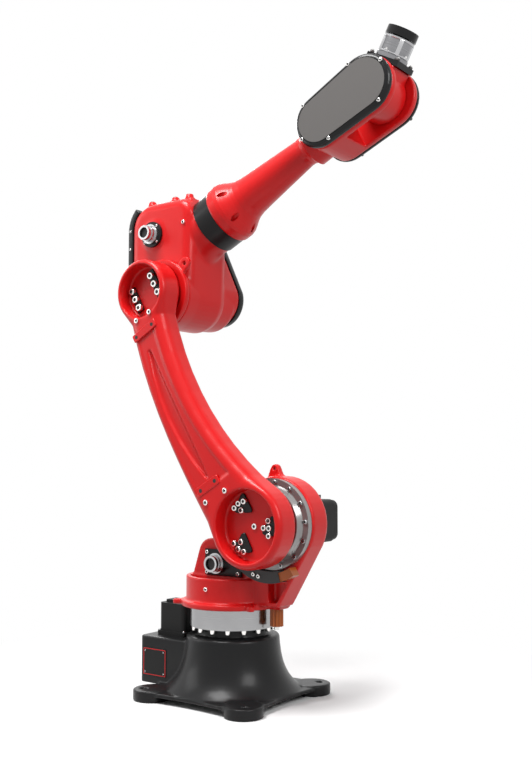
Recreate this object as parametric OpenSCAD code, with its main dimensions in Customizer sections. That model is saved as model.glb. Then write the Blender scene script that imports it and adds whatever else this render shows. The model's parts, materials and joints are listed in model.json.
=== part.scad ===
// Six-axis industrial robot arm standing on a four-footed base.
// Millimetres, +Z up, origin on the first axis at the floor, +X to the front.
// The arm is drawn in the pose of the picture, so every joint reads zero here.

/* [Base] */
// Spacing of the four foot holes
foot_pitch = 360; // [320:1:400]
// Foot hole diameter
foot_hole_d = 18; // [14:0.5:22]
// Radius of a foot pad
pad_r = 54; // [44:1:60]
// Distance from the hole back to the pad centre, along X and along Y
pad_back = 16; // [0:1:20]
// Height of a foot pad
pad_h = 31; // [24:1:36]
// Underside of the base plate
plate_low = 16; // [10:1:18]
// Upper side of the base plate
plate_top = 27; // [24:1:30]
// Half width of the base plate
plate_half = 202; // [196:1:206]
// Height of the flared column
column_top = 179; // [170:1:190]
// Radius of the column under its rim
column_r = 131; // [124:1:136]
// Radius of the column where it meets the plate
column_foot_r = 196; // [186:1:198]
// Radius of the neck that carries the turning ring
neck_r = 104; // [96:1:110]
// Rear end of the cable box behind the column
box_rear = 282; // [265:1:295]
// Half width of the cable box
box_half = 92; // [80:1:100]
// Top of the cable box
box_top = 157; // [145:1:165]

/* [First axis] */
// Radius of the silver turning ring
ring_r = 124; // [118:1:128]
// Underside of the turning ring
ring_low = 204; // [198:1:210]
// Height of the turning ring
ring_h = 57; // [50:1:62]
// Radius of the turret flange
flange_r = 150; // [142:1:154]
// Height of the turret flange
flange_h = 17; // [14:1:20]
// Outer radius of the turret pot
pot_r = 136; // [128:1:140]
// Top rim of the turret pot
pot_top = 347; // [338:1:358]
// Half width of the first motor
motor1_half = 50; // [44:1:56]
// Distance of the first motor behind the first axis
motor1_x = 196; // [190:1:205]
// Height of the first motor above the cable box
motor1_h = 94; // [80:1:100]

/* [Second axis] */
// Forward offset of the second axis
j2_x = 191; // [180:1:200]
// Height of the second axis
j2_z = 503; // [490:1:520]
// Outer radius of the turret ring around the second axis
cheek_r = 130; // [126:1:138]
// Near face of the turret cheek
cheek_near = -62; // [-70:1:-55]
// Far face of the turret cheek
cheek_far = 14; // [5:1:30]
// Radius of the silver reducer flange
reducer_r = 125; // [120:1:130]
// Thickness of the silver reducer flange
reducer_h = 18; // [12:1:22]
// Radius of the second axis output flange
output_r = 70; // [60:1:80]
// Radius of the adapter of the second motor
adapter_r = 80; // [72:1:88]
// Half width of the second motor
motor2_half = 61; // [50:1:64]
// Length of the second motor behind its flange
motor2_len = 104; // [80:1:110]

/* [Lower arm] */
// Radius of the third axis output flange
output3_r = 56; // [50:1:60]
// Distance between the second and third axes
arm_len = 774; // [740:1:800]
// Lean of the lower arm to the rear, in degrees
lean = 30.15; // [20:0.05:40]
// Near face of the lower arm
arm_near = -200; // [-210:1:-190]
// Far face of the lower arm between its hubs
arm_far = -122; // [-130:1:-115]
// Rounding of the near edges of the lower arm
arm_round = 14; // [8:1:18]
// Rounding of the near edges between the hubs
arm_soft = 32; // [20:1:36]
// Rounding of the far edges of the lower arm
arm_back_round = 10; // [6:1:14]
// How far the lower arm bows to the rear at its middle
arm_bow = 61; // [40:1:70]
// How much more the bow leans to the upper end
arm_skew = 0.25; // [0:0.05:0.4]
// Half width of the lower arm at its slim end
arm_waist = 64; // [58:1:70]
// Extra half width of the lower arm at its thick end
arm_flare = 50; // [40:1:55]
// Depth of the long dip in the near face of the lower arm
arm_dip = 4; // [3:1:8]
// Depth of the groove in the dip
arm_groove = 9; // [5:1:12]
// Radius of the lower hub
hub2_r = 117; // [110:1:124]
// Radius of the upper hub
hub3_r = 94; // [90:1:100]
// Radius of the pocket in the lower hub
pocket2_r = 98; // [90:1:102]
// Radius of the pocket in the upper hub
pocket3_r = 79; // [72:1:84]
// Depth of both pockets
pocket_depth = 44; // [30:1:55]

/* [Elbow] */
// Rise of the forearm line above the third axis
elbow_rise = 136; // [125:1:150]
// Pitch of the forearm above the level, in degrees
fore_pitch = 26.5; // [15:0.1:40]
// Near face of the elbow casting
elbow_near = -94; // [-98:1:-85]
// Far face of the elbow casting
elbow_far = 165; // [150:1:175]
// Radius of the elbow barrel at its near end
barrel_near_r = 103; // [98:1:108]
// Radius of the elbow barrel at its far end
barrel_far_r = 89; // [84:1:95]
// Front end of the elbow casting along the forearm line
elbow_front = 202; // [190:1:210]
// Length of the black ring on the fourth axis
ring4_len = 56; // [50:1:62]
// Radius of the collar around the third axis
collar_r = 106; // [102:1:110]
// Height of the elbow top above the third axis
elbow_top = 291; // [280:1:300]
// Distance from the third axis to the rear face of the elbow
elbow_rear = 137; // [125:1:145]
// Radius of the bend between the barrel and the seat of the fourth axis
bend_r = 70; // [55:1:80]
// Thickness of the rear cover
rear_cover_t = 20; // [12:1:26]
// Thickness of the far cover
far_cover_t = 28; // [18:1:34]

/* [Forearm] */
// Distance from the third to the fifth axis along the forearm line
fore_len = 835; // [810:1:870]
// Radius of the black ring on the fourth axis
ring4_r = 87; // [82:1:92]
// Radius of the bolted forearm flange
fore_flange_r = 91; // [86:1:96]
// Radius of the tube behind the wrist
tube_r = 42; // [38:1:50]
// How much the tube thickens towards its flange
tube_cone = 24; // [15:1:30]
// Radius of the spigot that the forearm turns on
spigot_r = 50; // [44:1:54]
// Half width of the fork between its covers
fork_half = 72; // [66:1:78]
// Half width of the slot in the fork
slot_half = 50; // [47:1:56]
// Radius of the fork around the fifth axis
fork_r = 83; // [76:1:88]
// How far the fork tip reaches beyond the fifth axis
fork_nose = 9; // [0:1:14]
// Radius of the fork at its root
fork_root_r = 76; // [70:1:82]
// Thickness of a fork cover
cover_t = 18; // [12:1:24]

/* [Wrist] */
// Bend of the wrist above the forearm line, in degrees
wrist_bend = 35; // [0:0.5:80]
// Radius of the wrist head around the fifth axis
head_r = 68; // [60:1:72]
// Half width of the wrist head
head_half = 45; // [40:1:45]
// Radius of the fifth axis trunnions
trunnion_r = 30; // [24:1:36]
// Distance from the fifth axis to the tool face
tool_face = 181; // [170:1:190]
// Radius of the tool flange
tool_r = 44; // [40:1:45]
// Pitch circle of the tool holes
tool_pcd = 63; // [50:1:70]
// Tool hole diameter
tool_hole_d = 6; // [5:0.5:8]
// Pilot bore of the tool flange
tool_pilot_d = 40; // [30:1:45]

/* [Hidden] */
$fn = 64;
// Gap between turning faces
gap = 0.3;
// Radial clearance of a turning fit
fit = 0.5;
j3_x = j2_x - arm_len * sin(lean);
j3_z = j2_z + arm_len * cos(lean);
ring_top = ring_low + ring_h;
flange_top = ring_top + flange_h;
hole_at = foot_pitch / 2;
// Radius of the collar that carries the fork, and where the fork starts on it
collar4_r = 59;
// Centre of the fork root on the fourth axis
fork_root = fore_len - 148;
palm_start = fork_root - 47;
// Ground of the slot in the fork
slot_start = fore_len - head_r - 41;
// End of the bolted forearm flange, and of the tube in front of the collar
flange4_start = elbow_front + ring4_len + 2;
flange4_end = flange4_start + 26;
tube_end = palm_start - 68;
// Centre of the far cover, beside the third axis
far_dx = 8;
far_dz = 14;
// Far end of the elbow block
elbow_block = 96;
// Rear top corner radius of the elbow block
block_r = 76;
// Lower end of the rear cover above the third axis
cover_foot = 96;
// Places of the bosses on the elbow top
top_bosses = [-92, 4, 88];
boss_y = 44;
// Centre of the elbow cable entry
gland3_x = -42;
gland3_z = 190;
// Where the output flanges seat in the lower arm
flange_seat = arm_far - 8;
// Stretch of the arm, as shares of its length, that the dip and its groove take up
dip_start = 0.19;
dip_end = 0.84;
groove_start = 0.23;
groove_end = 0.77;
pad_at = hole_at - pad_back;
// Directions of the lugs on the turret flange
lug_angles = [35, 145, 215, 325];
// Depth and radius of the hollow edges of the base plate
edge_dip = 6;
edge_r = 4.6 * plate_half;
// Centre and half width of the cable entry of the turret
gland2_x = -2;
gland2_z = pot_top + 37;
// Stop of the first axis in front of the ring
stop_x = ring_r + 31;
// Eye of the lifting lug on the turret
eye_x = j2_x - 29;
eye_z = j2_z + cheek_r + 20;

// Sub-part to draw, or all of them

// Points of an arc about c
function arc(c, r, a0, a1, n) = [for (i = [0:n]) let (a = a0 + (a1 - a0) * i / n)
    [c[0] + r * cos(a), c[1] + r * sin(a)]];

// Closed outline moved inwards along its normals
function inset(p, d) = let (n = len(p)) [for (i = [0:n - 1])
    let (t = p[(i + 1) % n] - p[(i + n - 1) % n], l = norm(t))
    [p[i][0] - d * t[1] / l, p[i][1] + d * t[0] / l]];

// Outline of two circles and their outer tangents
function capsule(a, ra, b, rb, n) = let (d = b - a, h = atan2(d[1], d[0]), k = acos((ra - rb) / norm(d)))
    concat(arc(a, ra, h + k, h + 360 - k, n), arc(b, rb, h - k, h + k, n));

// Solid through a row of equal rings
module loft(rings) {
    n = len(rings[0]);
    m = len(rings);
    sides = [for (i = [0:m - 2]) for (j = [0:n - 1]) let (k = (j + 1) % n)
        [[i * n + j, (i + 1) * n + j, (i + 1) * n + k], [i * n + j, (i + 1) * n + k, i * n + k]]];
    polyhedron(points = [for (r = rings) for (q = r) q],
        faces = concat([[for (j = [0:n - 1]) j]], [for (s = sides) for (f = s) f],
        [[for (j = [n - 1:-1:0]) (m - 1) * n + j]]));
}

// Slab of height h whose two rims are rounded by r0 below and r1 above
module soft_slab(p, h, r0, r1, n) {
    low = r0 == 0 ? [[0, 0]] : [for (i = [0:n]) let (a = 90 * i / n) [r0 * (1 - sin(a)), r0 * (1 - cos(a))]];
    high = r1 == 0 ? [[0, h]] : [for (i = [n:-1:0]) let (a = 90 * i / n)
        [r1 * (1 - sin(a)), h - r1 * (1 - cos(a))]];
    loft([for (s = concat(low, high)) let (q = inset(p, s[0])) [for (v = q) [v[0], v[1], s[1]]]]);
}

// Lays a drawing of the XZ plane along Y, from y0 to y1
module along_y(y1) {
    translate([0, y1, 0]) rotate([90, 0, 0]) children();
}

// Round bar along Y from y0 to y1
module bar_y(r, y0, y1) {
    along_y(y1) cylinder(r = r, h = y1 - y0);
}

// Round bar along X from x0 to x1
module bar_x(r, x0, x1) {
    translate([x0, 0, 0]) rotate([0, 90, 0]) cylinder(r = r, h = x1 - x0);
}

// Disc along Y whose two rims are rounded
module roller(r, y0, y1, near_round, far_round) {
    h = y1 - y0;
    along_y(y1) rotate_extrude($fn = 40) polygon(concat([[0, 0]],
        arc([r - far_round, far_round], far_round, -90, 0, 3),
        arc([r - near_round, h - near_round], near_round, 0, 90, 4), [[0, h]]));
}

// Frame of the second axis, with Z along the lower arm
module at_arm() {
    translate([j2_x, 0, j2_z]) rotate([0, -lean, 0]) children();
}

// Frame of the third axis, with X along the forearm
module at_elbow() {
    translate([j3_x, 0, j3_z]) rotate([0, -fore_pitch, 0]) children();
}

// Frame of the third axis kept level
module at_level() {
    translate([j3_x, 0, j3_z]) children();
}

// Frame of the fourth axis
module at_fore() {
    at_elbow() translate([0, 0, elbow_rise]) children();
}

// Frame of the fifth axis, with X along the tool axis
module at_wrist() {
    at_fore() translate([fore_len, 0, 0]) rotate([0, -wrist_bend, 0]) children();
}

// Block with round upright corners, the same to both sides of the middle
module round_block(x0, x1, half, z0, z1, r) {
    h = z1 - z0;
    translate([x0 + r, -half, z0]) cube([x1 - x0 - 2 * r, 2 * half, h]);
    translate([x0, -half + r, z0]) cube([x1 - x0, 2 * half - 2 * r, h]);
    for (x = [x0 + r, x1 - r], y = [-half + r, half - r]) translate([x, y, z0]) cylinder(r = r, h = h);
}

// Radius of the column, with t from 0 at the plate to 1 at the top
function flare(t) = column_r + (column_foot_r - column_r) * exp(-3.1 * t);

// Cast base with four feet, a flared column and a cable box
module base_casting() {
    color("#202022") difference() {
        union() {
            translate([0, 0, plate_low]) linear_extrude(plate_top - plate_low) difference() {
                square(2 * plate_half, center = true);
                for (a = [0:90:270]) rotate(a) translate([plate_half + edge_r - edge_dip, 0])
                    circle(r = edge_r, $fn = 180);
            }
            for (x = [-pad_at, pad_at], y = [-pad_at, pad_at]) translate([x, y, 0])
                cylinder(r = pad_r, h = pad_h);
            rotate_extrude() polygon(concat([[0, plate_low + 1], [column_foot_r, plate_low + 1]],
                [for (t = [0:0.08:0.96]) [flare(t), plate_top + t * (column_top - plate_top)]],
                [[column_r - 2, column_top], [neck_r, column_top], [neck_r, ring_low - gap],
                [0, ring_low - gap]]));
            round_block(-box_rear, -column_r / 2, box_half, plate_top - 6, box_top, 16);
        }
        for (x = [-hole_at, hole_at], y = [-hole_at, hole_at]) translate([x, y, -1])
            cylinder(d = foot_hole_d, h = pad_h + 2);
    }
}

// Motor of the first axis on the cable box
module j1_motor() {
    color("#1c1c1e") union() {
        translate([-motor1_x, 0, box_top]) {
            round_block(-motor1_half - 4, motor1_half + 4, motor1_half + 2, 0, 12, 8);
            round_block(-motor1_half, motor1_half, motor1_half - 3, 11, motor1_h, 14);
        }
    }
}

// Plug on top of the first motor
module j1_motor_plug() {
    color("#151516") translate([-motor1_x - 32, -34, box_top + motor1_h]) cube([28, 42, 9]);
}

// Pin through the bumper of the first axis
module j1_stop_pin() {
    color("#b9bbbe") translate([stop_x, 0, ring_top - 58]) cylinder(r = 7, h = 10);
}

// Silver ring that turns on the base neck
module j1_reducer_ring() {
    color("#b4b5b6") translate([0, 0, ring_low]) cylinder(r = ring_r, h = ring_h);
}

// Rounded post of the turret cheek
module cheek_post(x, z, r) {
    translate([x, 0, z]) roller(r, cheek_near, cheek_far, 5, 10);
}

// Cast lug that leans on what it stands on
module lug(r, h, foot) {
    hull() {
        cylinder(r = r, h = h, $fn = 24);
        translate([-foot, -1.5 * r, 0]) cube([1, 3 * r, h]);
    }
}

// Cast turret with flange, pot and cheek
module turret_casting() {
    color("#d3121a") difference() {
        union() {
            translate([0, 0, ring_top]) cylinder(r = flange_r, h = flange_h);
            translate([0, 0, flange_top - 1]) cylinder(r = pot_r, h = pot_top - flange_top + 1);
            for (a = lug_angles) rotate(a) translate([flange_r + 14, 0, ring_top + 1])
                lug(11, flange_h - 2, 34);
            hull() {
                cheek_post(j2_x, j2_z, cheek_r);
                translate([-60, cheek_near, flange_top - 4]) cube([j2_x + 71, cheek_far - cheek_near, 8]);
            }
            hull() {
                cheek_post(-35, pot_top + 60, 46);
                cheek_post(60, pot_top + 63, 46);
                translate([14 - pot_r, cheek_near, flange_top - 4])
                    cube([2 * pot_r - 28, cheek_far - cheek_near, 8]);
            }
            hull() {
                translate([eye_x, 0, eye_z]) bar_y(13, -22, -2);
                translate([eye_x - 25, -24, j2_z + cheek_r - 16]) cube([52, 24, 6]);
            }
            hull() {
                translate([stop_x - 25, -24, ring_top]) cube([50, 48, 4]);
                translate([stop_x - 35, -30, flange_top]) cube([70, 60, 4]);
            }
        }
        translate([0, 0, pot_top - 16]) difference() {
            cylinder(r = pot_r - 14, h = 30);
            translate([-200, cheek_near - 3, -1]) cube([400, cheek_far - cheek_near + 6, 40]);
        }
        translate([j2_x, 0, j2_z]) bar_y(output_r + 2, cheek_near - 1, cheek_far + 1);
        translate([eye_x, 0, eye_z]) bar_y(5, -40, 10);
        along_y(cheek_near + 30) linear_extrude(40) polygon([[pot_r + 34, flange_top + 8],
            [j2_x + 6, flange_top + 8], [j2_x + 40, flange_top + 64], [pot_r + 34, flange_top + 64]]);
        for (a = lug_angles) rotate(a) translate([flange_r + 14, 0, ring_top])
            cylinder(r = 5, h = flange_h + 2);
    }
}

// Fluted orange bumper of the first axis
module j1_bumper() {
    color("#d8731c") translate([stop_x, 0, ring_top - 48]) difference() {
        cylinder(r = 19, h = 48);
        for (a = [15:30:345]) rotate(a) translate([21, 0, -1]) cylinder(r = 5, h = 50, $fn = 24);
    }
}

// Black plate for the cable entry of the turret
module turret_gland_plate() {
    color("#1a1a1c") translate([gland2_x - 46, cheek_near - 8, gland2_z - 35]) cube([130, 8, 74]);
}

// Cable gland of the turret
module turret_gland() {
    color("#b9bbbe") translate([gland2_x, 0, gland2_z]) difference() {
        union() {
            bar_y(29, cheek_near - 20, cheek_near - 8);
            bar_y(25, cheek_near - 30, cheek_near - 20);
            bar_y(23, cheek_near - 42, cheek_near - 30);
        }
        bar_y(17, cheek_near - 43, cheek_near - 20);
    }
}

// Silver reducer case on the second axis
module j2_reducer_case() {
    color("#b4b5b6") translate([j2_x, 0, j2_z]) difference() {
        bar_y(reducer_r, cheek_near - reducer_h, cheek_near);
        bar_y(output_r + fit, cheek_near - reducer_h - 1, cheek_near + 1);
    }
}

// Black adapter between turret and second motor
module j2_motor_adapter() {
    color("#1c1c1e") translate([j2_x, 0, j2_z]) bar_y(adapter_r, cheek_far, cheek_far + 42);
}

// Motor of the second axis
module j2_motor() {
    color("#202022") translate([j2_x, 0, j2_z]) union() {
        along_y(cheek_far + 60) round_block(-motor2_half - 6, motor2_half + 6, motor2_half + 6, 0, 18, 12);
        along_y(cheek_far + 59 + motor2_len)
            round_block(-motor2_half, motor2_half, motor2_half, 0, motor2_len, 20);
    }
}

// Plug of the second motor
module j2_motor_plug() {
    color("#151516") translate([j2_x - 20, cheek_far + 96, j2_z + motor2_half]) cube([40, 34, 12]);
}

// Grey stop bracket under the second axis
module j2_stop_bracket() {
    color("#3a3b3e") translate([j2_x, 0, j2_z]) along_y(cheek_near) linear_extrude(34)
        polygon(concat(arc([0, 0], 128, 222, 285, 12), arc([0, 0], 160, 285, 232, 12)));
}

// Orange stop block under the second axis
module j2_stop_bumper() {
    color("#d8731c") translate([j2_x, 0, j2_z]) along_y(cheek_near) linear_extrude(30)
        polygon(concat(arc([0, 0], 134, 285.2, 302, 6), arc([0, 0], 158, 302, 285.2, 6)));
}

// Sideways place of the bowed centre line, with s from 0 at the second axis to 1 at the third
function bow(s) = -4 * arm_bow * s * (1 - s) * (1 + arm_skew * (s - 0.5));

// Half width of the lower arm along its centre line
function half_arm(s) = arm_waist + arm_flare * pow(1 - s, 3);

// Half width of the groove, which tapers to both ends
function half_groove(s) = 4 + 19 * sin(180 * (s - groove_start) / (groove_end - groove_start));

// Chain of hulls through the stations of the lower arm
module arm_chain(stations) {
    for (i = [1:len(stations) - 1]) hull() for (q = [stations[i - 1], stations[i]])
        translate([bow(q[0]) + q[1], 0, q[0] * arm_len]) roller(q[2], q[3], q[4], q[5], q[6]);
}

// Cast lower arm, bowed to the rear
module lower_arm_casting() {
    steps = [for (i = [1:10]) i / 11];
    dip_r = arm_soft - 4;
    color("#d3121a") at_arm() difference() {
        union() {
            arm_chain(concat([[0, 0, hub2_r, arm_near, arm_far, arm_round, arm_back_round]],
                [for (s = steps) [s, 0, half_arm(s), arm_near, arm_far, arm_soft, arm_back_round]],
                [[1, 0, hub3_r, arm_near, arm_far, arm_round, arm_back_round]]));
            bar_y(hub2_r - 28, arm_far - 10, cheek_near - reducer_h - 3);
            translate([0, 0, arm_len]) bar_y(hub3_r - 16, arm_far - 10, elbow_near - 12);
        }
        intersection() {
            arm_chain([for (s = [0.1:0.1:0.91])
                [s, -6, half_arm(s) - dip_r, arm_near - 4, arm_near + arm_dip, 1, arm_dip - 0.5]]);
            translate([-200, arm_near - 5, dip_start * arm_len])
                cube([400, 40, (dip_end - dip_start) * arm_len]);
        }
        arm_chain([for (i = [0:6]) let (s = groove_start + (groove_end - groove_start) * i / 6)
            [s, -10, half_groove(s), arm_near - 4, arm_near + arm_dip + arm_groove, 1, half_groove(s) / 2]]);
        bar_y(pocket2_r, arm_near - 1, arm_near + pocket_depth);
        translate([0, 0, arm_len]) bar_y(pocket3_r, arm_near - 1, arm_near + pocket_depth);
        bar_y(output_r + fit, flange_seat, cheek_near);
        translate([0, 0, arm_len]) bar_y(output3_r + fit, flange_seat, elbow_near);
    }
}

// Steel output flange of the second axis
module j2_output_flange() {
    color("#9c9ea1") at_arm() bar_y(output_r, flange_seat, cheek_near - 2);
}

// Steel output flange of the third axis
module j3_output_flange() {
    color("#9c9ea1") at_arm() translate([0, 0, arm_len]) bar_y(output3_r, flange_seat, elbow_near + 8);
}

// Front bolt strip in the upper pocket
module j3_strip_front() {
    color("#161617") at_arm() translate([37, 0, arm_len + 3]) along_y(arm_near + pocket_depth)
        translate([-12, -48, 0]) cube([24, 96, 6]);
}

// Rear bolt strip in the upper pocket
module j3_strip_rear() {
    color("#161617") at_arm() translate([-50, 0, arm_len + 6]) along_y(arm_near + pocket_depth)
        translate([-12, -40, 0]) cube([24, 80, 6]);
}

// Outline of the far half of the elbow: the barrel, a sloping front and a round top
function elbow_far_outline() = concat(
    arc([far_dx, far_dz], barrel_far_r - 6, 200, 375, 20),
    arc([-elbow_rear + 73, elbow_top - 93], 70, 36, 176, 12), [[6 - elbow_rear, 80]]);

// Rounded post of the elbow block
module elbow_post(x, z, r) {
    translate([x, 0, z]) roller(r, elbow_near, elbow_block, 26, 34);
}

// Cast boss with draft
module boss(r, h) {
    hull() {
        cylinder(r = r + 4, h = 1, $fn = 16);
        translate([0, 0, h - 1]) cylinder(r = r, h = 1, $fn = 16);
    }
}

// Cast elbow with its barrel and the seat of the fourth axis
module elbow_casting() {
    seat_r = ring4_r - 3;
    bend_x = sqrt(pow(bend_r + barrel_near_r, 2) - pow(elbow_rise - seat_r - bend_r, 2));
    color("#d3121a") difference() {
        union() {
            at_level() hull() {
                elbow_post(-elbow_rear + block_r, elbow_top - block_r, block_r);
                elbow_post(56, elbow_top - 50, 50);
                elbow_post(-elbow_rear + 66, 40, 66);
                elbow_post(0, 0, barrel_near_r - 3);
            }
            at_level() along_y(elbow_far) soft_slab(elbow_far_outline(), elbow_far - 40, 6, 30, 3);
            at_level() translate([0, elbow_near + 4, 0]) rotate([-90, 0, 0]) rotate_extrude($fn = 52)
                polygon(concat([[0, 0], [barrel_near_r, 0]],
                arc([barrel_far_r - 24, elbow_far - elbow_near - 32], 24, 0, 90, 4),
                [[0, elbow_far - elbow_near - 8]]));
            at_fore() bar_x(seat_r, 20, elbow_front + 6);
            at_elbow() translate([bend_x, 0, elbow_rise - seat_r - bend_r]) rotate([90, 0, 0]) rotate(90)
                rotate_extrude(angle = 84, $fn = 40) translate([bend_r + seat_r, 0])
                circle(r = seat_r, $fn = 40);
            at_level() hull() for (x = top_bosses, y = [-boss_y, boss_y]) translate([x, y, elbow_top - 10])
                cylinder(r = 15, h = 16, $fn = 16);
            at_level() for (x = top_bosses, y = [-boss_y, boss_y]) translate([x, y, elbow_top + 2])
                boss(11, 18);
            at_level() translate([gland3_x, 0, gland3_z]) hull() {
                bar_y(44, elbow_near - 2, elbow_near + 8);
                bar_y(54, elbow_near + 2, elbow_near + 8);
            }
        }
        at_elbow() bar_y(output3_r + fit, elbow_near - 1, elbow_near + 30);
        at_fore() bar_x(spigot_r, 60, elbow_front + 8);
        at_fore() translate([elbow_front, -150, -150]) cube([80, 300, 300]);
    }
}

// Red collar of the third axis with its stop lug
module j3_ring() {
    collar_low = elbow_near - 18;
    color("#c8111a") at_elbow() difference() {
        union() {
            bar_y(collar_r, collar_low, elbow_near);
            rotate([0, -16, 0]) translate([collar_r - 14, elbow_near - 12, -18]) cube([36, 12, 36]);
            rotate([0, -16, 0]) translate([collar_r + 22, 0, 0]) bar_y(18, elbow_near - 12, elbow_near);
        }
        bar_y(hub3_r - 10, collar_low - 1, elbow_near - 8);
        bar_y(output3_r + fit, elbow_near - 9, elbow_near + 1);
        rotate([0, -16, 0]) translate([collar_r + 20, 0, 0]) bar_y(6, elbow_near - 13, elbow_near + 1);
    }
}

// Black rear cover of the elbow, bent round its rear top edge
module elbow_rear_cover() {
    bend = [-elbow_rear + block_r, elbow_top - block_r];
    color("#1a1a1c") at_level() along_y(elbow_block - 8) linear_extrude(elbow_block - elbow_near - 18)
        polygon(concat(arc(bend, block_r + gap, 180, 132, 8), arc(bend, block_r + rear_cover_t, 132, 180, 8),
        [[-elbow_rear - rear_cover_t, cover_foot], [-elbow_rear - gap, cover_foot]]));
}

// Black far cover of the elbow
module elbow_far_cover() {
    color("#1a1a1c") at_level() along_y(elbow_far + far_cover_t)
        soft_slab(inset(elbow_far_outline(), -2), far_cover_t, 12, 0, 3);
}

// Black plate of the elbow cable entry
module elbow_gland_plate() {
    color("#1a1a1c") at_level() translate([gland3_x, 0, gland3_z]) bar_y(39, elbow_near - 10, elbow_near - 2);
}

// Silver cable gland of the elbow
module elbow_gland() {
    color("#b9bbbe") at_level() translate([gland3_x, 0, gland3_z]) difference() {
        union() {
            bar_y(30, elbow_near - 18, elbow_near - 10);
            bar_y(25, elbow_near - 30, elbow_near - 18);
            bar_y(22, elbow_near - 44, elbow_near - 30);
        }
        bar_y(16, elbow_near - 45, elbow_near - 14);
    }
}

// Black ring between elbow and forearm
module j4_ring() {
    color("#19191a") at_fore() difference() {
        bar_x(ring4_r, elbow_front, elbow_front + ring4_len);
        bar_x(spigot_r, elbow_front - 1, elbow_front + ring4_len + 1);
    }
}

// Radius of the forearm, with t from 0 at its flange to 1 at its slim end
function tube(t) = tube_r + tube_cone * (1 - t)
    + (fore_flange_r - tube_r - tube_cone) * exp(-pow(t / 0.14, 2));

// Round forearm casting with its bolted flange
module forearm_tube() {
    color("#d3121a") at_fore() difference() {
        rotate([0, 90, 0]) rotate_extrude() polygon(concat([[0, elbow_front + 20],
            [spigot_r - fit, elbow_front + 20], [spigot_r - fit, flange4_start], [fore_flange_r - 2, flange4_start],
            [fore_flange_r, flange4_start + 5]],
            [for (t = [0, 0.04, 0.08, 0.12, 0.16, 0.2, 0.27, 0.4, 0.6, 0.8, 1])
                [tube(t), flange4_end + t * (tube_end - flange4_end)]],
            [for (a = [22.5:22.5:90]) [collar4_r - (collar4_r - tube_r) * cos(a), tube_end + 30 * sin(a)]],
            [[collar4_r, palm_start], [0, palm_start]]));
        for (a = [15:60:345]) rotate([a, 0, 0]) translate([0, 0, fore_flange_r - 12])
            bar_x(8, flange4_end + 2, flange4_end + 54);
    }
}

// Outline of the fork about the fourth axis
function fork_outline() = capsule([fork_root, 0], fork_root_r, [fore_len + fork_nose, 0], fork_r, 18);

// Cast fork that carries the wrist head
module wrist_fork() {
    color("#d3121a") at_fore() difference() {
        union() {
            along_y(fork_half) soft_slab(fork_outline(), 2 * fork_half, 8, 8, 3);
            hull() {
                bar_x(collar4_r, palm_start, palm_start + 8);
                translate([fork_root, 0, 0]) roller(fork_root_r - 8, -fork_half + 6, fork_half - 6, 8, 8);
            }
        }
        translate([slot_start, -slot_half, -120]) cube([fore_len - slot_start + 2 * fork_r, 2 * slot_half, 240]);
        translate([palm_start - 100, -100, -100]) cube([100, 200, 200]);
        translate([fore_len, 0, 0]) bar_y(trunnion_r + fit, -fork_half + 6, fork_half - 6);
    }
}

// Black rim of the near fork cover
module near_cover_rim() {
    color("#161617") at_fore() along_y(-fork_half) soft_slab(inset(fork_outline(), 1), cover_t, 0, 12, 3);
}

// Grey face of the near fork cover
module near_cover_face() {
    color("#8b8788") at_fore() along_y(-fork_half - cover_t) linear_extrude(2)
        polygon(inset(fork_outline(), 15));
}

// Black cover on the far side of the fork
module far_cover() {
    color("#161617") at_fore() along_y(fork_half + cover_t)
        soft_slab(inset(fork_outline(), 1), cover_t, 12, 0, 3);
}

// Cast wrist head between the fork cheeks
module wrist_head() {
    color("#d3121a") at_wrist() union() {
        bar_y(head_r, -head_half, head_half);
        translate([0, -42, -46]) cube([82, 84, 92]);
        bar_y(trunnion_r, -fork_half + 8, fork_half - 8);
    }
}

// Black plate on the wrist head
module wrist_plate() {
    color("#171718") at_wrist() translate([82, -42, -53]) cube([15, 84, 106]);
}

// Silver reducer of the sixth axis
module j6_reducer() {
    color("#c3c4c6") at_wrist() difference() {
        union() {
            bar_x(45, 97, 108);
            bar_x(39, 108, tool_face - 24);
        }
        bar_x(24 + fit, 120, tool_face);
    }
}

// Black tool flange with its hole circle
module tool_flange() {
    color("#19191a") at_wrist() difference() {
        union() {
            bar_x(tool_r, tool_face - 22, tool_face);
            bar_x(24, 122, tool_face - 10);
        }
        bar_x(tool_pilot_d / 2, tool_face - 8, tool_face + 1);
        for (a = [45:90:315]) rotate([a, 0, 0]) translate([0, 0, tool_pcd / 2])
            bar_x(tool_hole_d / 2, tool_face - 16, tool_face + 1);
    }
}

base_casting();
j1_motor();
j1_motor_plug();
j1_stop_pin();
j1_reducer_ring();
turret_casting();
j1_bumper();
turret_gland_plate();
turret_gland();
j2_reducer_case();
j2_motor_adapter();
j2_motor();
j2_motor_plug();
j2_stop_bracket();
j2_stop_bumper();
lower_arm_casting();
j2_output_flange();
j3_output_flange();
j3_strip_front();
j3_strip_rear();
elbow_casting();
j3_ring();
elbow_rear_cover();
elbow_far_cover();
elbow_gland_plate();
elbow_gland();
j4_ring();
forearm_tube();
wrist_fork();
near_cover_rim();
near_cover_face();
far_cover();
wrist_head();
wrist_plate();
j6_reducer();
tool_flange();
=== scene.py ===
import json
import math

import bmesh
import bpy
from mathutils import Matrix, Vector


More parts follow.
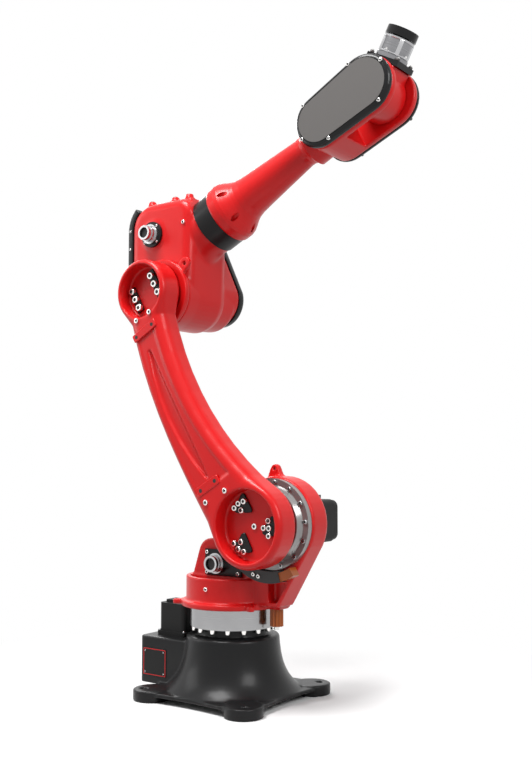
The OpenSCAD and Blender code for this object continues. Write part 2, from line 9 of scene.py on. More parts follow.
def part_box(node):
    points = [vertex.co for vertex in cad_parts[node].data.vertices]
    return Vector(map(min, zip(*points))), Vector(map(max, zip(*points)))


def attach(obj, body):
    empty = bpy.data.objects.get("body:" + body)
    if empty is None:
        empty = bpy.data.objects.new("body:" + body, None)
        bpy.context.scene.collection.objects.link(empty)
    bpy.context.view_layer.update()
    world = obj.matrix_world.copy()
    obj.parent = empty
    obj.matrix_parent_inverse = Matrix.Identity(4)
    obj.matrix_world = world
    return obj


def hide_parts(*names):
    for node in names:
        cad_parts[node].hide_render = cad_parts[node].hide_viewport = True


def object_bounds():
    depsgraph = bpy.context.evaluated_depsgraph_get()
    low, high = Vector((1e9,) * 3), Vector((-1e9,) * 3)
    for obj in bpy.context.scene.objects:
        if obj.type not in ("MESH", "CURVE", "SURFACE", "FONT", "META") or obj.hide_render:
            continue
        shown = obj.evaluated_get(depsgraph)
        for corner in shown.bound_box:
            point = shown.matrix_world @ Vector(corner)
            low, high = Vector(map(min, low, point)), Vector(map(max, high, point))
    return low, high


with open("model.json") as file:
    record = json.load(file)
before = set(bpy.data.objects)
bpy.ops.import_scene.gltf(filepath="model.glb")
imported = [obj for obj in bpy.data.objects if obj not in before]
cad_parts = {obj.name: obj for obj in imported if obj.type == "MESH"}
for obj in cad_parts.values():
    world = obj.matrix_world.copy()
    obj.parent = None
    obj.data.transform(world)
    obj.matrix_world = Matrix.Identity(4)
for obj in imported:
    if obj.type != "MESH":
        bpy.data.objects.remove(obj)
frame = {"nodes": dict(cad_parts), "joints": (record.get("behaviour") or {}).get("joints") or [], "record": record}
cadLow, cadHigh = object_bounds()
nodes = frame["nodes"]
bodyOfNode = {n: b for b, names in frame["record"]["behaviour"]["bodies"].items() for n in names}
jointAt = {j["name"]: (Vector(j["pos_m"]), Vector(j["axis"])) for j in frame["joints"]}
scene = bpy.context.scene
mm = 0.001
print("frame loaded:", len(nodes), "nodes")


# mesh of a finished bmesh, which is freed
def meshOf(work, name):
    mesh = bpy.data.meshes.new(name)
    work.to_mesh(mesh)
    work.free()
    return mesh


# shader groups

def newGroup(name, inputs, outputs):
    group = bpy.data.node_groups.new(name, "ShaderNodeTree")
    for label, kind, value in inputs:
        socket = group.interface.new_socket(label, in_out="INPUT", socket_type=kind)
        socket.default_value = value
    for label, kind in outputs:
        group.interface.new_socket(label, in_out="OUTPUT", socket_type=kind)
    return group, group.nodes.new("NodeGroupInput"), group.nodes.new("NodeGroupOutput")


def feed(tree, socket, value):
    if hasattr(value, "is_linked"):
        tree.links.new(value, socket)
    else:
        socket.default_value = value


def noiseNode(tree, scale, detail, vector):
    node = tree.nodes.new("ShaderNodeTexNoise")
    node.inputs["Detail"].default_value = detail
    feed(tree, node.inputs["Scale"], scale)
    tree.links.new(vector, node.inputs["Vector"])
    return node.outputs["Fac"]


def mathNode(tree, operation, first, second=None, third=None):
    node = tree.nodes.new("ShaderNodeMath")
    node.operation = operation
    for slot, value in enumerate((first, second, third)):
        if value is not None:
            feed(tree, node.inputs[slot], value)
    return node.outputs[0]


def mixColour(tree, factor, first, second):
    node = tree.nodes.new("ShaderNodeMix")
    node.data_type = "RGBA"
    for name, value in (("Factor_Float", factor), ("A_Color", first), ("B_Color", second)):
        feed(tree, next(s for s in node.inputs if s.identifier == name), value)
    return next(s for s in node.outputs if s.identifier == "Result_Color")


# cast and painted skin: soft colour drift, gloss drift, orange peel and sand grain
def makePaintGroup():
    group, start, end = newGroup(
        "paintedCasting",
        [("Light", "NodeSocketColor", (1, 1, 1, 1)), ("Deep", "NodeSocketColor", (0, 0, 0, 1)),
         ("Gloss Low", "NodeSocketFloat", 0.2), ("Gloss High", "NodeSocketFloat", 0.4),
         ("Peel Scale", "NodeSocketFloat", 260.0), ("Sand Scale", "NodeSocketFloat", 900.0),
         ("Sand Share", "NodeSocketFloat", 0.3)],
        [("Color", "NodeSocketColor"), ("Roughness", "NodeSocketFloat"), ("Height", "NodeSocketFloat")])
    scales = {"cloud": 5.0, "smear": 24.0}
    details = {"cloud": 3.0, "peel": 2.0, "sand": 1.0, "smear": 4.0}
    place = group.nodes.new("ShaderNodeTexCoord").outputs["Object"]
    cloud = noiseNode(group, scales["cloud"], details["cloud"], place)
    peel = noiseNode(group, start.outputs["Peel Scale"], details["peel"], place)
    sand = noiseNode(group, start.outputs["Sand Scale"], details["sand"], place)
    drift = mixColour(group, cloud, start.outputs["Light"], start.outputs["Deep"])
    group.links.new(drift, end.inputs["Color"])
    smear = noiseNode(group, scales["smear"], details["smear"], place)
    spread = mathNode(group, "SUBTRACT", start.outputs["Gloss High"], start.outputs["Gloss Low"])
    gloss = mathNode(group, "MULTIPLY_ADD", smear, spread, start.outputs["Gloss Low"])
    group.links.new(gloss, end.inputs["Roughness"])
    height = mathNode(group, "MULTIPLY_ADD", sand, start.outputs["Sand Share"], peel)
    group.links.new(height, end.inputs["Height"])
    return group


# lathe marks about one axis through a point: fine rings with a little stain
def makeTurnedGroup():
    group, start, end = newGroup(
        "turnedMetal",
        [("Vector", "NodeSocketVector", (0, 0, 0)), ("Light", "NodeSocketColor", (1, 1, 1, 1)),
         ("Deep", "NodeSocketColor", (0, 0, 0, 1)), ("Rings", "NodeSocketFloat", 900.0)],
        [("Color", "NodeSocketColor"), ("Roughness", "NodeSocketFloat"), ("Height", "NodeSocketFloat")])
    wear = {"rowDetail": 3.0, "stainScale": 14.0, "stainDetail": 4.0}
    share = {"rowTone": 0.5, "stainTone": 0.5, "rowGloss": 0.22, "stainGloss": 0.2}
    split = group.nodes.new("ShaderNodeSeparateXYZ")
    group.links.new(start.outputs["Vector"], split.inputs[0])
    squared = [mathNode(group, "MULTIPLY", split.outputs[i], split.outputs[i]) for i in (0, 1)]
    radius = mathNode(group, "SQRT", mathNode(group, "ADD", *squared))
    line = mathNode(group, "ADD", radius, split.outputs[2])
    rows = group.nodes.new("ShaderNodeTexNoise")
    rows.noise_dimensions = "1D"
    rows.inputs["Detail"].default_value = wear["rowDetail"]
    group.links.new(line, rows.inputs["W"])
    group.links.new(start.outputs["Rings"], rows.inputs["Scale"])
    stain = noiseNode(group, wear["stainScale"], wear["stainDetail"], start.outputs["Vector"])
    stainTone = mathNode(group, "MULTIPLY", stain, share["stainTone"])
    blend = mathNode(group, "MULTIPLY_ADD", rows.outputs["Fac"], share["rowTone"], stainTone)
    tone = mixColour(group, blend, start.outputs["Deep"], start.outputs["Light"])
    group.links.new(tone, end.inputs["Color"])
    stainGloss = mathNode(group, "MULTIPLY", stain, share["stainGloss"])
    gloss = mathNode(group, "MULTIPLY_ADD", rows.outputs["Fac"], share["rowGloss"], stainGloss)
    group.links.new(gloss, end.inputs["Roughness"])
    group.links.new(rows.outputs["Fac"], end.inputs["Height"])
    return group


paintGroup = makePaintGroup()
turnedGroup = makeTurnedGroup()
coatRoughness = 0.18
bumpStrength = {"paint": 0.35, "turned": 0.3}


def newMaterial(name, colour, metallic=0.0, roughness=0.4, coat=0.0, specular=0.5):
    material = bpy.data.materials.new(name)
    material.use_nodes = True
    shader = next(n for n in material.node_tree.nodes if n.type == "BSDF_PRINCIPLED")
    shader.inputs["Base Color"].default_value = colour
    shader.inputs["Metallic"].default_value = metallic
    shader.inputs["Roughness"].default_value = roughness
    shader.inputs["Coat Weight"].default_value = coat
    shader.inputs["Coat Roughness"].default_value = coatRoughness
    shader.inputs["Specular IOR Level"].default_value = specular
    material.diffuse_color = colour
    return material, material.node_tree, shader


def dressWithGroup(tree, shader, group, values, bumpDistance, strength):
    node = tree.nodes.new("ShaderNodeGroup")
    node.node_tree = group
    for label, value in values.items():
        node.inputs[label].default_value = value
    tree.links.new(node.outputs["Color"], shader.inputs["Base Color"])
    tree.links.new(node.outputs["Roughness"], shader.inputs["Roughness"])
    bump = tree.nodes.new("ShaderNodeBump")
    bump.inputs["Distance"].default_value = bumpDistance
    bump.inputs["Strength"].default_value = strength
    tree.links.new(node.outputs["Height"], bump.inputs["Height"])
    tree.links.new(bump.outputs["Normal"], shader.inputs["Normal"])
    return node


def paintedMaterial(name, light, deep, gloss, coat, peel, sand, sandShare, bumpDistance, specular=0.22):
    material, tree, shader = newMaterial(name, light, roughness=gloss[0], coat=coat, specular=specular)
    dressWithGroup(tree, shader, paintGroup,
                   {"Light": light, "Deep": deep, "Gloss Low": gloss[0], "Gloss High": gloss[1],
                    "Peel Scale": peel, "Sand Scale": sand, "Sand Share": sandShare},
                   bumpDistance, bumpStrength["paint"])
    return material


def turnedMaterial(name, light, deep, origin, axis, rings, bumpDistance, metallic=1.0):
    material, tree, shader = newMaterial(name, light, metallic=metallic, roughness=0.3)
    node = dressWithGroup(tree, shader, turnedGroup, {"Light": light, "Deep": deep, "Rings": rings},
                          bumpDistance, bumpStrength["turned"])
    mapping = tree.nodes.new("ShaderNodeMapping")
    mapping.vector_type = "TEXTURE"  # moves the pattern's own frame onto the axis
    mapping.inputs["Location"].default_value = origin
    mapping.inputs["Rotation"].default_value = axis.to_track_quat("Z", "Y").to_euler()
    place = tree.nodes.new("ShaderNodeTexCoord")
    tree.links.new(place.outputs["Object"], mapping.inputs["Vector"])
    tree.links.new(mapping.outputs["Vector"], node.inputs["Vector"])
    return material


upAxis = Vector((0, 0, 1))
acrossAxis = Vector((0, 1, 0))
toolAxis = jointAt["j6_spin"][1]
foreAxis = jointAt["j4_roll"][1]

redPaint = paintedMaterial(
    "redPaint", light=(0.66, 0.0075, 0.0085, 1), deep=(0.58, 0.006, 0.007, 1), gloss=(0.30, 0.40), coat=0.15,
    peel=210.0, sand=900.0, sandShare=0.25, bumpDistance=0.00018)
blackPaint = paintedMaterial(
    "blackPaint", light=(0.011, 0.011, 0.0115, 1), deep=(0.008, 0.008, 0.0085, 1), gloss=(0.27, 0.4),
    coat=0.1, peel=300.0, sand=1200.0, sandShare=0.6, bumpDistance=0.0003, specular=0.14)
motorBlack = paintedMaterial(
    "motorBlack", light=(0.018, 0.018, 0.018, 1), deep=(0.013, 0.013, 0.013, 1), gloss=(0.42, 0.58), coat=0.0,
    peel=420.0, sand=1600.0, sandShare=0.8, bumpDistance=0.0003, specular=0.14)
coverBlack = paintedMaterial(
    "coverBlack", light=(0.009, 0.009, 0.0095, 1), deep=(0.007, 0.007, 0.0075, 1), gloss=(0.16, 0.26),
    coat=0.2, peel=500.0, sand=1500.0, sandShare=0.2, bumpDistance=0.0001, specular=0.14)
coverGrey = paintedMaterial(
    "coverGrey", light=(0.128, 0.121, 0.117, 1), deep=(0.112, 0.106, 0.102, 1), gloss=(0.42, 0.55), coat=0.05,
    peel=700.0, sand=1800.0, sandShare=0.6, bumpDistance=0.0002)
bracketGrey = paintedMaterial(
    "bracketGrey", light=(0.050, 0.050, 0.050, 1), deep=(0.038, 0.038, 0.039, 1), gloss=(0.4, 0.55), coat=0.0,
    peel=420.0, sand=1600.0, sandShare=0.8, bumpDistance=0.0003)
bufferOrange = paintedMaterial(
    "bufferOrange", light=(0.42, 0.105, 0.014, 1), deep=(0.32, 0.075, 0.010, 1), gloss=(0.25, 0.4), coat=0.3,
    peel=300.0, sand=1100.0, sandShare=0.4, bumpDistance=0.0003)
ringSteel = turnedMaterial(
    "ringSteel", light=(0.46, 0.46, 0.46, 1), deep=(0.28, 0.28, 0.29, 1), origin=Vector((0, 0, 0)),
    axis=upAxis, rings=900.0, bumpDistance=0.0001)
flangeSteel = turnedMaterial(
    "flangeSteel", light=(0.36, 0.35, 0.345, 1), deep=(0.20, 0.20, 0.20, 1), origin=jointAt["j2_lean"][0],
    axis=acrossAxis, rings=700.0, bumpDistance=0.0001, metallic=0.5)
elbowSteel = turnedMaterial(
    "elbowSteel", light=(0.62, 0.61, 0.61, 1), deep=(0.38, 0.38, 0.39, 1), origin=jointAt["j3_lift"][0],
    axis=acrossAxis, rings=700.0, bumpDistance=0.0001)
toolSteel = turnedMaterial(
    "toolSteel", light=(0.56, 0.56, 0.57, 1), deep=(0.34, 0.34, 0.35, 1), origin=jointAt["j6_spin"][0],
    axis=toolAxis, rings=900.0, bumpDistance=0.0001)
coreSteel = turnedMaterial(
    "coreSteel", light=(0.38, 0.38, 0.39, 1), deep=(0.16, 0.16, 0.17, 1), origin=jointAt["j6_spin"][0],
    axis=toolAxis, rings=420.0, bumpDistance=0.0002)
glandSteel = turnedMaterial(
    "glandSteel", light=(0.66, 0.66, 0.67, 1), deep=(0.42, 0.42, 0.43, 1), origin=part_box("turret_gland")[0],
    axis=acrossAxis, rings=900.0, bumpDistance=0.0001)
zincScrew = turnedMaterial(
    "zincScrew", light=(0.86, 0.85, 0.83, 1), deep=(0.68, 0.67, 0.66, 1), origin=Vector((0, 0, 0)),
    axis=acrossAxis, rings=1500.0, bumpDistance=0.00005)
# painted shade: a near-black finish put where a hole, socket or bore looks dark from its depth
paintedHoleShade, _, _ = newMaterial("paintedHoleShade", (0.006, 0.006, 0.006, 1), roughness=0.7)
print("materials made:", len(bpy.data.materials))


# CAD nodes take their finish on the mesh that was packed

nodeFinish = {
    "base_casting": blackPaint, "j1_motor": motorBlack, "j1_motor_plug": motorBlack, "j1_stop_pin": zincScrew,
    "j1_reducer_ring": ringSteel, "turret_casting": redPaint, "j1_bumper": bufferOrange,
    "turret_gland_plate": coverBlack, "turret_gland": glandSteel, "j2_reducer_case": flangeSteel,
    "j2_motor_adapter": motorBlack, "j2_motor": motorBlack, "j2_motor_plug": motorBlack,
    "j2_stop_bracket": bracketGrey, "j2_stop_bumper": bufferOrange, "lower_arm_casting": redPaint,
    "j2_output_flange": flangeSteel, "j3_output_flange": elbowSteel, "j3_strip_front": coverBlack,
    "j3_strip_rear": coverBlack, "elbow_casting": redPaint, "j3_ring": redPaint,
    "elbow_rear_cover": coverBlack, "elbow_far_cover": coverBlack, "elbow_gland_plate": coverBlack,
    "elbow_gland": glandSteel, "j4_ring": blackPaint, "forearm_tube": redPaint, "wrist_fork": redPaint,
    "near_cover_rim": coverBlack, "near_cover_face": coverGrey, "far_cover": coverBlack,
    "wrist_head": redPaint, "wrist_plate": coverBlack, "j6_reducer": coreSteel, "tool_flange": coverBlack,
}


def dressNode(name):
    mesh = nodes[name].data
    if not mesh.materials:
        mesh.materials.append(nodeFinish[name])
    for slot in nodes[name].material_slots:
        slot.material = nodeFinish[name]


for nodeName in nodes:
    dressNode(nodeName)


# soft casting skins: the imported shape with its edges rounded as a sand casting's are

weldGap = 0.00002
softenFactor = 0.5
# voxel in millimetres and smoothing passes
skinSizes = {"lower_arm_casting": (3.2, 6), "turret_casting": (3.2, 6), "elbow_casting": (3.2, 8),
             "wrist_fork": (2.6, 6), "wrist_head": (2.4, 6), "base_casting": (3.6, 5),
             "near_cover_rim": (2.2, 5), "far_cover": (2.6, 5), "elbow_far_cover": (2.8, 6),
             "elbow_rear_cover": (2.6, 4), "j3_ring": (2.4, 4)}


def castingSkin(nodeName, voxel, passes):
    work = bmesh.new()
    work.from_mesh(nodes[nodeName].data)
    bmesh.ops.remove_doubles(work, verts=work.verts, dist=weldGap)
    rough = bpy.data.objects.new(nodeName + "_rough", meshOf(work, nodeName + "_rough"))
    scene.collection.objects.link(rough)
    remesh = rough.modifiers.new("skin", "REMESH")
    remesh.mode = "VOXEL"
    remesh.voxel_size = voxel * mm
    soften = rough.modifiers.new("soften", "SMOOTH")
    soften.factor = softenFactor
    soften.iterations = passes
    depsgraph = bpy.context.evaluated_depsgraph_get()
    skinMesh = bpy.data.meshes.new_from_object(rough.evaluated_get(depsgraph))
    skinMesh.name = nodeName + "_skin"
    bpy.data.objects.remove(rough)
    skinMesh.polygons.foreach_set("use_smooth", [True] * len(skinMesh.polygons))
    skinMesh.materials.clear()
    skinMesh.materials.append(nodeFinish[nodeName])
    skin = bpy.data.objects.new(nodeName + "_skin", skinMesh)
    scene.collection.objects.link(skin)
    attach(skin, bodyOfNode[nodeName])
    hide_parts(nodeName)
    print("skin", nodeName, len(skinMesh.polygons), "faces")


for nodeName, (voxel, passes) in skinSizes.items():
    castingSkin(nodeName, voxel, passes)


# frames of the moving parts: points in them are given in millimetres

def turnedFrame(origin, direction):
    return Matrix.Translation(origin) @ Matrix.Rotation(-math.atan2(direction.z, direction.x), 4, "Y")


armReach = jointAt["j3_lift"][0] - jointAt["j2_lean"][0]
worldFrame = Matrix.Identity(4)
armFrame = turnedFrame(jointAt["j2_lean"][0], armReach) @ Matrix.Rotation(math.radians(90), 4, "Y")
shoulderFrame = Matrix.Translation(jointAt["j2_lean"][0])
levelFrame = Matrix.Translation(jointAt["j3_lift"][0])
foreFrame = turnedFrame(jointAt["j4_roll"][0], foreAxis)
wristFrame = turnedFrame(jointAt["j5_bend"][0], toolAxis)
armLength = armReach.length / mm


def spot(frameOfPart, point, direction, size=(1, 1, 1)):
    turn = Vector(direction).to_track_quat("Z", "Y").to_matrix().to_4x4()
    scale = Matrix.Diagonal((size[0] * mm, size[1] * mm, size[2] * mm, 1))
    return frameOfPart @ Matrix.Translation(Vector(point) * mm) @ turn @ scale


def vertsOf(geometry):
    return [g for g in geometry if isinstance(g, bmesh.types.BMVert)]


def faceOf(geometry):
    return next(g for g in geometry if isinstance(g, bmesh.types.BMFace))


# socket head cap screw of radius 1 and height 1, the inside of its socket painted dark as shade
def makeScrew():
    shape = {"segments": 24, "rim": 0.12, "land": 0.3, "flats": 0.5, "depth": 0.55, "socket": 0.6,
             "above": 0.1}
    work = bmesh.new()
    ring = bmesh.ops.create_circle(work, segments=shape["segments"], radius=1.0, cap_ends=True)["verts"]
    raised = bmesh.ops.extrude_face_region(work, geom=[ring[0].link_faces[0]])["geom"]
    bmesh.ops.translate(work, verts=vertsOf(raised), vec=(0, 0, 1 - shape["rim"]))
    top = faceOf(raised)
    bmesh.ops.inset_region(work, faces=[top], thickness=shape["rim"])
    bmesh.ops.translate(work, verts=top.verts, vec=(0, 0, shape["rim"]))
    bmesh.ops.inset_region(work, faces=[top], thickness=shape["land"])
    for vert in top.verts:
        angle = math.atan2(vert.co.y, vert.co.x)
        side = (angle + math.pi / 6) % (math.pi / 3) - math.pi / 6
        reach = shape["flats"] / math.cos(side)
        vert.co.x, vert.co.y = reach * math.cos(angle), reach * math.sin(angle)
    sunk = bmesh.ops.extrude_face_region(work, geom=[top])["geom"]
    bmesh.ops.translate(work, verts=vertsOf(sunk), vec=(0, 0, -shape["depth"]))
    # the socket's walls and floor take the second finish: painted shade for the inside of the socket
    for face in work.faces:
        inSocket = all(v.co.xy.length < shape["socket"] for v in face.verts)
        face.material_index = int(inSocket and face.calc_center_median().z > shape["above"])
    bmesh.ops.recalc_face_normals(work, faces=work.faces)
    return meshOf(work, "screwShape")


# tapped hole of radius 1 with its countersunk rim, its mouth a flat disc of painted shade
def makeHole():
    shape = {"segments": 24, "slope": 0.16, "rise": 0.12, "lip": 0.1, "sink": 0.08}
    work = bmesh.new()
    ring = bmesh.ops.create_circle(work, segments=shape["segments"], radius=1.0, cap_ends=True)["verts"]
    mouth = ring[0].link_faces[0]
    bmesh.ops.inset_region(work, faces=[mouth], thickness=shape["slope"])
    bmesh.ops.translate(work, verts=mouth.verts, vec=(0, 0, shape["rise"]))
    bmesh.ops.inset_region(work, faces=[mouth], thickness=shape["lip"])
    bmesh.ops.translate(work, verts=mouth.verts, vec=(0, 0, -shape["sink"]))
    # the flat mouth takes the second finish: painted shade in place of the hole's depth
    mouth.material_index = 1
    return meshOf(work, "holeShape")


screwShape = makeScrew()
holeShape = makeHole()
sharpAngle = math.radians(32)


def finishPiece(work, name, body, materials):
    bmesh.ops.recalc_face_normals(work, faces=work.faces)
    mesh = meshOf(work, name)
    for material in materials:
        mesh.materials.append(material)
    mesh.polygons.foreach_set("use_smooth", [True] * len(mesh.polygons))
    mesh.set_sharp_from_angle(angle=sharpAngle)
    piece = bpy.data.objects.new(name, mesh)
    scene.collection.objects.link(piece)
    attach(piece, body)
    return piece


def stampSet(name, body, shape, places, materials):
    work = bmesh.new()
    for place in places:
        first = len(work.verts)
        work.from_mesh(shape)
        work.verts.ensure_lookup_table()
        bmesh.ops.transform(work, matrix=place, verts=work.verts[first:])
    print("detail", name, len(places))
    finishPiece(work, name, body, materials)


def screwSet(name, body, places, head=zincScrew):
    stampSet(name, body, screwShape, places, [head, paintedHoleShade])


def holeSet(name, body, places, rim):
    stampSet(name, body, holeShape, places, [rim, paintedHoleShade])


near = (0, -1, 0)


def polar(radius, degrees):
    angle = math.radians(degrees)
    return radius * math.cos(angle), radius * math.sin(angle)


def ringOf(count, radius, start=0.0):
    return [polar(radius, start + 360.0 * k / count) for k in range(count)]


# first axis: bolts under the silver ring, motor, turret and cable plate screws

ringBolts = {"count": 16, "circle": 114, "start": 8, "size": (7.5, 7.5, 12)}
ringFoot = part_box("j1_reducer_ring")[0].z / mm
screwSet("j1RingBolts", "turret",
         [spot(worldFrame, (x, y, ringFoot), (0, 0, -1), ringBolts["size"])
          for x, y in ringOf(ringBolts["count"], ringBolts["circle"], ringBolts["start"])])

motorLow, motorHigh = [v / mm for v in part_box("j1_motor")]
flangeScrews = {"inset": 7, "lift": 12, "size": (4.5, 4.5, 4)}
screwSet("j1MotorScrews", "base",
         [spot(worldFrame, (x, y, motorLow.z + flangeScrews["lift"]), (0, 0, 1), flangeScrews["size"])
          for x in (motorLow.x + flangeScrews["inset"], motorHigh.x - flangeScrews["inset"])
          for y in (motorLow.y + flangeScrews["inset"], motorHigh.y - flangeScrews["inset"])], toolSteel)

potScrew = {"turn": -86, "radius": 135.6, "level": 318, "size": (6, 6, 4)}
potX, potY = polar(1.0, potScrew["turn"])
potPlace = (potX * potScrew["radius"], potY * potScrew["radius"], potScrew["level"])
screwSet("turretPotScrew", "turret", [spot(worldFrame, potPlace, (potX, potY, 0), potScrew["size"])])

plateLow, plateHigh = [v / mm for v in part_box("turret_gland_plate")]
glandScrews = {"inset": 9, "size": (5.5, 5.5, 5)}
screwSet("turretGlandScrews", "turret",
         [spot(worldFrame, (x, plateLow.y, z), near, glandScrews["size"])
          for x in (plateLow.x + glandScrews["inset"], plateHigh.x - glandScrews["inset"])
          for z in (plateLow.z + glandScrews["inset"], plateHigh.z - glandScrews["inset"])])

# second axis: reducer bolts and sleeve, stop bracket screws, motor screws and steps

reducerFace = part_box("j2_reducer_case")[0].y / mm
reducerBolts = {"count": 14, "circle": 116.5, "start": 5, "size": (6.4, 6.4, 4)}
screwSet("j2ReducerBolts", "turret",
         [spot(shoulderFrame, (x, reducerFace, z), near, reducerBolts["size"])
          for x, z in ringOf(reducerBolts["count"], reducerBolts["circle"], reducerBolts["start"])],
         toolSteel)

reducerSleeve = {"profile": ((95, 0), (95, 14), (96, 15), (99, 15), (107, 2), (108, 0)), "steps": 96}


# turned piece about the first axis of a frame: radius and height pairs, spun once round
def turnedPiece(work, profile, steps):
    verts = [work.verts.new((height, 0, radius)) for radius, height in profile]
    edges = [work.edges.new((verts[k], verts[k + 1])) for k in range(len(verts) - 1)]
    bmesh.ops.spin(work, geom=verts + edges, cent=(0, 0, 0), axis=(1, 0, 0), angle=math.radians(360),
                   steps=steps, use_merge=True)


def sleevePiece():
    work = bmesh.new()
    turnedPiece(work, reducerSleeve["profile"], reducerSleeve["steps"])
    towardArm = Matrix.Rotation(math.radians(-90), 4, "Z")
    place = shoulderFrame @ Matrix.Translation((0, reducerFace * mm, 0)) @ towardArm
    bmesh.ops.transform(work, matrix=place @ Matrix.Scale(mm, 4), verts=work.verts)
    finishPiece(work, "j2ReducerSleeve", "turret", [flangeSteel])


sleevePiece()

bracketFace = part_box("j2_stop_bracket")[0].y / mm
bracketScrews = {"turns": (252, 259), "circle": 145, "size": (5.5, 5.5, 4.5)}
screwSet("j2BracketScrews", "turret",
         [spot(shoulderFrame, (x, bracketFace, z), near, bracketScrews["size"])
          for x, z in (polar(bracketScrews["circle"], turn) for turn in bracketScrews["turns"])])

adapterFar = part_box("j2_motor_adapter")[1].y / mm
motorScrews = {"reach": 53, "lift": 18, "size": (5, 5, 5)}
screwSet("j2MotorScrews", "turret",
         [spot(shoulderFrame, (x, adapterFar + motorScrews["lift"], z), (0, 1, 0), motorScrews["size"])
          for x in (-motorScrews["reach"], motorScrews["reach"])
          for z in (-motorScrews["reach"], motorScrews["reach"])], toolSteel)

# half width, corner, low and high of each step
motorSteps = {"body": ((67, 12, 0, 18), (53, 20, 17, 38), (61, 16, 36, 96), (58, 20, 95, 121)), "edge": 2.0,
              "rounding": 6}


# flat outline with round corners, raised to a height with a bevelled top edge
def raisePlate(work, ring, corner, rounding, height, edge):
    bmesh.ops.bevel(work, geom=ring, offset=corner, offset_type="OFFSET", segments=rounding, profile=0.5,
                    affect="VERTICES", material=-1)
    work.faces.ensure_lookup_table()
    raised = bmesh.ops.extrude_face_region(work, geom=[work.faces[0]])["geom"]
    bmesh.ops.translate(work, verts=vertsOf(raised), vec=(0, 0, height - edge))
    top = faceOf(raised)
    bmesh.ops.inset_region(work, faces=[top], thickness=edge)
    bmesh.ops.translate(work, verts=top.verts, vec=(0, 0, edge))


def motorShell():
    work = bmesh.new()
    for half, corner, low, high in motorSteps["body"]:
        step = bmesh.new()
        ring = bmesh.ops.create_grid(step, x_segments=1, y_segments=1, size=half)["verts"]
        bmesh.ops.translate(step, verts=ring, vec=(0, 0, low))
        raisePlate(step, ring, corner, motorSteps["rounding"], high - low, motorSteps["edge"])
        work.from_mesh(meshOf(step, "motorStep"))
    place = spot(shoulderFrame, (0, adapterFar, 0), (0, 1, 0))
    bmesh.ops.transform(work, matrix=place, verts=work.verts)
    shell = finishPiece(work, "j2MotorShell", "turret", [motorBlack])
    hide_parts("j2_motor")


motorShell()

# lower arm: bolted pads in the lower pocket, strip bolts in the upper one, face screws and face pads

armFace = -200
pocketFloor = -156
padTurns = (92, -35, -151)
padShape = {"circle": 62, "reach": 40, "corner": 15, "rounding": 5, "thick": 5, "edge": 1.0}
padBolts = {"places": ((-26, 67), (-8, 71), (10, 68), (-9, 51), (34, -25), (49, -34), (57, -16), (38, -51),
                       (-75, -14), (-52, -22), (-69, -34), (-56, -49)), "size": (8, 8, 9),
            "middle": (2, -4), "middleSize": (8, 8, 5)}


# three-cornered pad with round corners, drawn in millimetres
def makePad():
    work = bmesh.new()
    ring = bmesh.ops.create_circle(work, segments=3, radius=padShape["reach"], cap_ends=True)["verts"]
    raisePlate(work, ring, padShape["corner"], padShape["rounding"], padShape["thick"] + padShape["edge"],
               padShape["edge"])
    return meshOf(work, "padShape")


def padSpot(turn):
    x, z = polar(padShape["circle"], turn)
    return spot(armFrame, (x, pocketFloor, z), near) @ Matrix.Rotation(math.radians(turn), 4, "Z")


stampSet("j2PocketPads", "lower_arm", makePad(), [padSpot(turn) for turn in padTurns],
         [coverBlack])
padTop = pocketFloor - padShape["thick"] - padShape["edge"]
padPlaces = [spot(armFrame, (x, padTop, z), near, padBolts["size"]) for x, z in padBolts["places"]]
middleX, middleZ = padBolts["middle"]
padPlaces.append(spot(armFrame, (middleX, pocketFloor, middleZ), near, padBolts["middleSize"]))
screwSet("j2PocketBolts", "lower_arm", padPlaces)

stripBolts = {"rows": ((37, 3), (-47, 5)), "pitch": 29, "stripTop": 6, "size": (10.5, 10.5, 10)}
stripTop = pocketFloor - stripBolts["stripTop"]
screwSet("j3StripBolts", "lower_arm",
         [spot(armFrame, (x, stripTop, armLength + lift + step * stripBolts["pitch"]), near,
               stripBolts["size"]) for x, lift in stripBolts["rows"] for step in (-1, 0, 1)])
faceScrews = {"places": ((-50, 700), (4, 694), (-8, 112), (-82, 116)), "size": (7.5, 7.5, 4.5)}
screwSet("armFaceScrews", "lower_arm", [spot(armFrame, (x, armFace, z), near, faceScrews["size"])
                                        for x, z in faceScrews["places"]])
facePads = {"places": ((-40, 657, 96, 24), (-54, 152, 84, 26)), "thick": 4, "corner": 5, "edge": 1.5,
            "rounding": 4, "holeInset": 14, "hole": (5.5, 5.5, 4)}


# raised pad on the near face, drawn in millimetres
def makeFacePad(width, height):
    work = bmesh.new()
    ring = bmesh.ops.create_grid(work, x_segments=1, y_segments=1, size=0.5)["verts"]
    bmesh.ops.scale(work, verts=ring, vec=(width, height, 1))
    raisePlate(work, ring, facePads["corner"], facePads["rounding"], facePads["thick"], facePads["edge"])
    return meshOf(work, "facePadShape")


padFoot = armFace + facePads["edge"]
for count, (x, z, width, height) in enumerate(facePads["places"]):
    stampSet("armFacePad%d" % count, "lower_arm", makeFacePad(width, height),
             [spot(armFrame, (x, padFoot, z), near)], [redPaint])
    reach = width / 2 - facePads["holeInset"]
    holeSet("armPadHoles%d" % count, "lower_arm",
            [spot(armFrame, (x + side * reach, padFoot - facePads["thick"], z), near, facePads["hole"])
             for side in (-1, 1)], redPaint)

# elbow: cable entry screws, tapped bosses, cover screws

